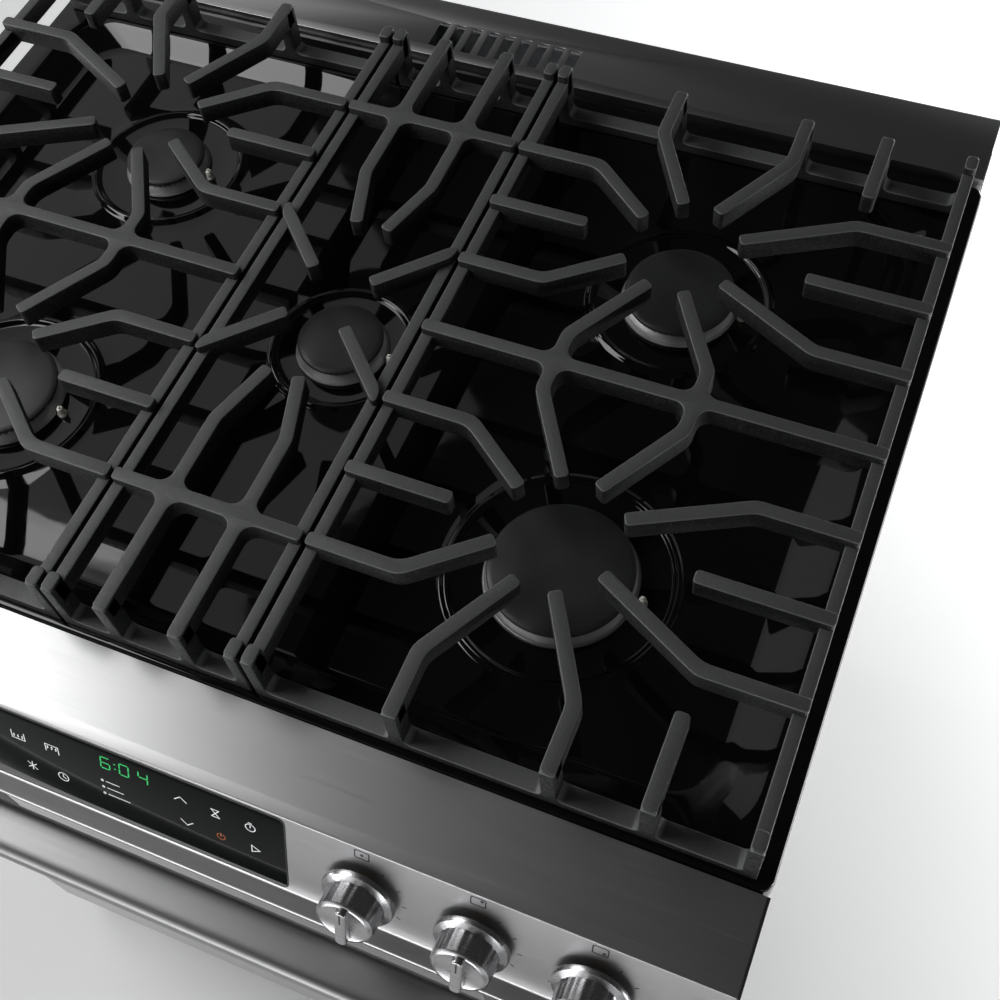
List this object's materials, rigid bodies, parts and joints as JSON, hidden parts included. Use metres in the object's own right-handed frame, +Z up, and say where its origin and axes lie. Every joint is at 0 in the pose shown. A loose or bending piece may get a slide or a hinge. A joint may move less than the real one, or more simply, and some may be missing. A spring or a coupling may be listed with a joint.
{
  "type": "freestanding gas range",
  "caption": "Freestanding gas range with cast grates over recessed burners, a sloping knob panel with a display, an oven with a drop-down door and racks, and a storage drawer.",
  "frame": {"origin": "middle of the footprint, on the floor under the feet", "axes": "+Z up, -Y out of the front (the oven door), +X to the user's right as they face it"},
  "size_m": [0.759, 0.72, 0.952],
  "materials": {
    "side_paint": "satin dark grey paint",
    "zinc_steel": "plain zinc-coated sheet",
    "black_plastic": "moulded",
    "black_enamel": "gloss enamel",
    "cooktop_enamel": "high-gloss black porcelain enamel",
    "stainless": "brushed along the width",
    "burner_alloy": "cast",
    "cap_enamel": "matte black enamel",
    "ceramic_white": "glazed insulator",
    "grate_iron": "fine-textured matte black enamel",
    "display_glass": "black glass with printed marks",
    "circuit_board": "solder mask",
    "brass": "machined",
    "gas_pipe": "yellow coating",
    "oven_enamel": "speckled dark blue-grey porcelain enamel",
    "glass_wool": "loose fibre blanket",
    "chrome_wire": "plated wire",
    "lamp_glass": "clear",
    "door_glass": "dark tinted",
    "gasket_braid": "woven fibreglass",
    "handle_steel": "brushed",
    "knob_metal": "brushed face, dark skirt"
  },
  "bodies": {
    "cabinet": {"left_side_panel": "side_paint", "right_side_panel": "side_paint", "back_panel": "zinc_steel", "cord_gland": "black_plastic", "base_frame": "zinc_steel", "leveling_legs": "zinc_steel", "front_frame": "black_enamel", "cooktop": "cooktop_enamel", "rear_vent_trim": "stainless", "burner_bases": "burner_alloy", "burner_heads": "burner_alloy", "burner_caps": "cap_enamel", "igniters": "ceramic_white", "control_panel": "stainless", "panel_end_caps": "black_plastic", "display_glass": "display_glass", "display_board": "circuit_board", "gas_manifold": "zinc_steel", "burner_valves": "brass", "burner_tubes": "burner_alloy", "supply_pipe": "gas_pipe", "gas_regulator": "burner_alloy", "spark_module": "black_plastic", "oven_liner": "oven_enamel", "oven_insulation": "glass_wool", "oven_floor": "oven_enamel", "rack_guides": "chrome_wire", "bake_burner": "zinc_steel", "broil_burner": "zinc_steel", "oven_lamp": "ceramic_white", "lamp_lens": "lamp_glass", "temperature_probe": "chrome_wire", "vent_duct": "zinc_steel", "hinge_arms": "zinc_steel", "drawer_rails": "zinc_steel"},
    "center_grate": {"center_grate": "grate_iron"},
    "left_grate": {"left_grate": "grate_iron"},
    "right_grate": {"right_grate": "grate_iron"},
    "upper_rack": {"oven_rack_upper": "chrome_wire"},
    "lower_rack": {"oven_rack_lower": "chrome_wire"},
    "oven_door": {"oven_door_panel": "stainless", "oven_door_glass": "door_glass", "oven_door_liner": "oven_enamel", "oven_door_inner_glass": "door_glass", "oven_door_gasket": "gasket_braid", "oven_door_handle": "handle_steel", "handle_mounts": "handle_steel", "oven_door_hinges": "zinc_steel"},
    "storage_drawer": {"storage_drawer_front": "stainless", "storage_drawer_box": "zinc_steel"},
    "stem_left_front": {"valve_stem_left_front": "brass"},
    "knob_left_front": {"knob_left_front": "knob_metal"},
    "stem_left_rear": {"valve_stem_left_rear": "brass"},
    "knob_left_rear": {"knob_left_rear": "knob_metal"},
    "stem_center": {"valve_stem_center": "brass"},
    "knob_center": {"knob_center": "knob_metal"},
    "stem_right_rear": {"valve_stem_right_rear": "brass"},
    "knob_right_rear": {"knob_right_rear": "knob_metal"},
    "stem_right_front": {"valve_stem_right_front": "brass"},
    "knob_right_front": {"knob_right_front": "knob_metal"}
  },
  "joints": [
    {"name": "push_left_front", "type": "slide", "parent": "cabinet", "child": "stem_left_front", "axis": [0, 0.9397, -0.342], "range_m": [0, 0.003], "stiffness_N_per_m": 400, "springref_m": -0.006},
    {"name": "turn_left_front", "type": "hinge", "parent": "stem_left_front", "child": "knob_left_front", "pos_m": [-0.305, -0.30568, 0.86611], "axis": [0, -0.9397, 0.342], "range_deg": [0, 240]},
    {"name": "push_left_rear", "type": "slide", "parent": "cabinet", "child": "stem_left_rear", "axis": [0, 0.9397, -0.342], "range_m": [0, 0.003], "stiffness_N_per_m": 400, "springref_m": -0.006},
    {"name": "turn_left_rear", "type": "hinge", "parent": "stem_left_rear", "child": "knob_left_rear", "pos_m": [-0.235, -0.30568, 0.86611], "axis": [0, -0.9397, 0.342], "range_deg": [0, 240]},
    {"name": "push_center", "type": "slide", "parent": "cabinet", "child": "stem_center", "axis": [0, 0.9397, -0.342], "range_m": [0, 0.003], "stiffness_N_per_m": 400, "springref_m": -0.006},
    {"name": "turn_center", "type": "hinge", "parent": "stem_center", "child": "knob_center", "pos_m": [0.165, -0.30568, 0.86611], "axis": [0, -0.9397, 0.342], "range_deg": [0, 240]},
    {"name": "push_right_rear", "type": "slide", "parent": "cabinet", "child": "stem_right_rear", "axis": [0, 0.9397, -0.342], "range_m": [0, 0.003], "stiffness_N_per_m": 400, "springref_m": -0.006},
    {"name": "turn_right_rear", "type": "hinge", "parent": "stem_right_rear", "child": "knob_right_rear", "pos_m": [0.235, -0.30568, 0.86611], "axis": [0, -0.9397, 0.342], "range_deg": [0, 240]},
    {"name": "push_right_front", "type": "slide", "parent": "cabinet", "child": "stem_right_front", "axis": [0, 0.9397, -0.342], "range_m": [0, 0.003], "stiffness_N_per_m": 400, "springref_m": -0.006},
    {"name": "turn_right_front", "type": "hinge", "parent": "stem_right_front", "child": "knob_right_front", "pos_m": [0.305, -0.30568, 0.86611], "axis": [0, -0.9397, 0.342], "range_deg": [0, 240]},
    {"name": "door_hinge", "type": "hinge", "parent": "cabinet", "child": "oven_door", "pos_m": [0, -0.282, 0.226], "axis": [1, 0, 0], "range_deg": [0, 90], "stiffness_Nm_per_rad": 15, "springref_deg": -20.05},
    {"name": "drawer_slide", "type": "slide", "parent": "cabinet", "child": "storage_drawer", "axis": [0, -1, 0], "range_m": [0, 0.35]},
    {"name": "upper_rack_slide", "type": "slide", "parent": "cabinet", "child": "upper_rack", "axis": [0, -1, 0], "range_m": [0, 0.02]},
    {"name": "lower_rack_slide", "type": "slide", "parent": "cabinet", "child": "lower_rack", "axis": [0, -1, 0], "range_m": [0, 0.02]},
    {"name": "left_grate_lift", "type": "slide", "parent": "cabinet", "child": "left_grate", "axis": [0, 0, 1], "range_m": [0, 0.15]},
    {"name": "center_grate_lift", "type": "slide", "parent": "cabinet", "child": "center_grate", "axis": [0, 0, 1], "range_m": [0, 0.15]},
    {"name": "right_grate_lift", "type": "slide", "parent": "cabinet", "child": "right_grate", "axis": [0, 0, 1], "range_m": [0, 0.15]}
  ]
}
